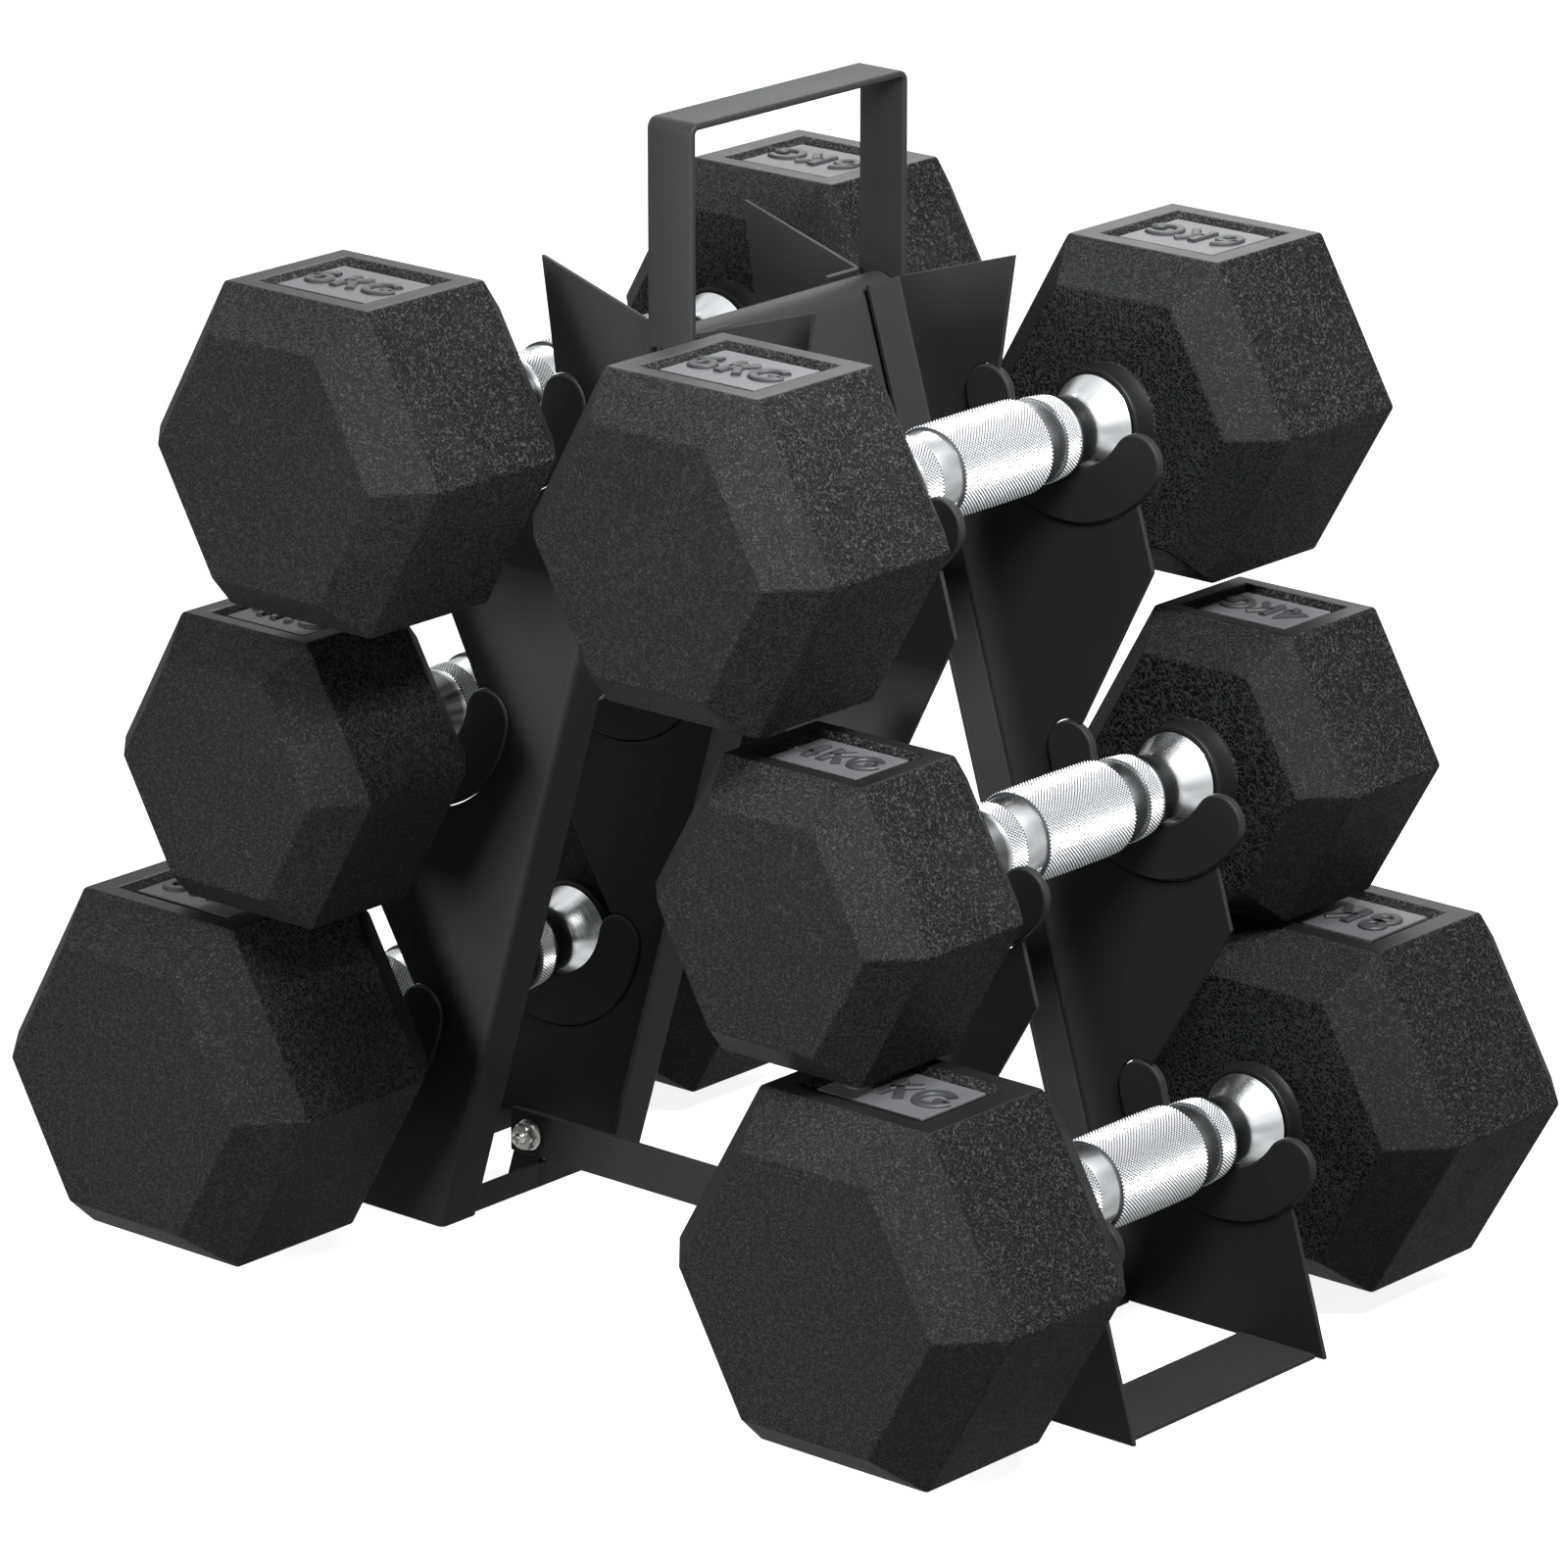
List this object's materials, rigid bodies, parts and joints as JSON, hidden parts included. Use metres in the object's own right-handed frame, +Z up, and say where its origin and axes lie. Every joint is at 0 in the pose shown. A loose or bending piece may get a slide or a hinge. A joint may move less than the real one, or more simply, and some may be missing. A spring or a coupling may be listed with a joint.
{
  "type": "dumbbell rack",
  "caption": "Small two-sided A-frame dumbbell rack of bent sheet steel with a strap handle, loaded with chrome-handled hexagonal rubber dumbbells.",
  "frame": {"origin": "on the floor under the middle of the rack", "axes": "+Z up, +X towards the right-hand column of dumbbells, +Y along the dumbbells towards the far panels"},
  "size_m": [0.366, 0.2698, 0.338],
  "materials": {
    "powder_coat": "matte black powder coat",
    "rubber": "pebbled matte black skin over cast iron",
    "chrome": "bright plate, knurled on the barrel and the rings",
    "marking": "satin grey inlay with raised characters",
    "zinc": "bright zinc plate"
  },
  "bodies": {
    "rack": {"carry_strap": "powder_coat", "apex_cap": "powder_coat", "cross_bar": "powder_coat", "panel_near_left": "powder_coat", "cradle_top_near_left": "powder_coat", "cradle_middle_near_left": "powder_coat", "cradle_bottom_near_left": "powder_coat", "panel_far_left": "powder_coat", "cradle_top_far_left": "powder_coat", "cradle_middle_far_left": "powder_coat", "cradle_bottom_far_left": "powder_coat", "floor_bar_left": "powder_coat", "floor_strip_left": "powder_coat", "tab_left": "powder_coat", "bolt_left": "zinc", "nut_left": "zinc", "panel_near_right": "powder_coat", "cradle_top_near_right": "powder_coat", "cradle_middle_near_right": "powder_coat", "cradle_bottom_near_right": "powder_coat", "panel_far_right": "powder_coat", "cradle_top_far_right": "powder_coat", "cradle_middle_far_right": "powder_coat", "cradle_bottom_far_right": "powder_coat", "floor_bar_right": "powder_coat", "floor_strip_right": "powder_coat", "tab_right": "powder_coat", "bolt_right": "zinc", "nut_right": "zinc"},
    "dumbbell_bottom_left": {"handle_bottom_left": "chrome", "head_bottom_left_near": "rubber", "mark_bottom_left_near": "marking", "head_bottom_left_far": "rubber", "mark_bottom_left_far": "marking"},
    "dumbbell_middle_left": {"handle_middle_left": "chrome", "head_middle_left_near": "rubber", "mark_middle_left_near": "marking", "head_middle_left_far": "rubber", "mark_middle_left_far": "marking"},
    "dumbbell_top_left": {"handle_top_left": "chrome", "head_top_left_near": "rubber", "mark_top_left_near": "marking", "head_top_left_far": "rubber", "mark_top_left_far": "marking"},
    "dumbbell_bottom_right": {"handle_bottom_right": "chrome", "head_bottom_right_near": "rubber", "mark_bottom_right_near": "marking", "head_bottom_right_far": "rubber", "mark_bottom_right_far": "marking"},
    "dumbbell_middle_right": {"handle_middle_right": "chrome", "head_middle_right_near": "rubber", "mark_middle_right_near": "marking", "head_middle_right_far": "rubber", "mark_middle_right_far": "marking"},
    "dumbbell_top_right": {"handle_top_right": "chrome", "head_top_right_near": "rubber", "mark_top_right_near": "marking", "head_top_right_far": "rubber", "mark_top_right_far": "marking"}
  },
  "joints": [
    {"name": "lift_bottom_left", "type": "slide", "parent": "rack", "child": "dumbbell_bottom_left", "axis": [-0.5, 0, 0.866], "range_m": [0, 0.12]},
    {"name": "lift_middle_left", "type": "slide", "parent": "dumbbell_bottom_left", "child": "dumbbell_middle_left", "axis": [-0.5, 0, 0.866], "range_m": [0, 0.12]},
    {"name": "lift_top_left", "type": "slide", "parent": "dumbbell_middle_left", "child": "dumbbell_top_left", "axis": [-0.5, 0, 0.866], "range_m": [0, 0.12]},
    {"name": "lift_bottom_right", "type": "slide", "parent": "rack", "child": "dumbbell_bottom_right", "axis": [0.5, 0, 0.866], "range_m": [0, 0.12]},
    {"name": "lift_middle_right", "type": "slide", "parent": "dumbbell_bottom_right", "child": "dumbbell_middle_right", "axis": [0.5, 0, 0.866], "range_m": [0, 0.12]},
    {"name": "lift_top_right", "type": "slide", "parent": "dumbbell_middle_right", "child": "dumbbell_top_right", "axis": [0.5, 0, 0.866], "range_m": [0, 0.12]}
  ]
}
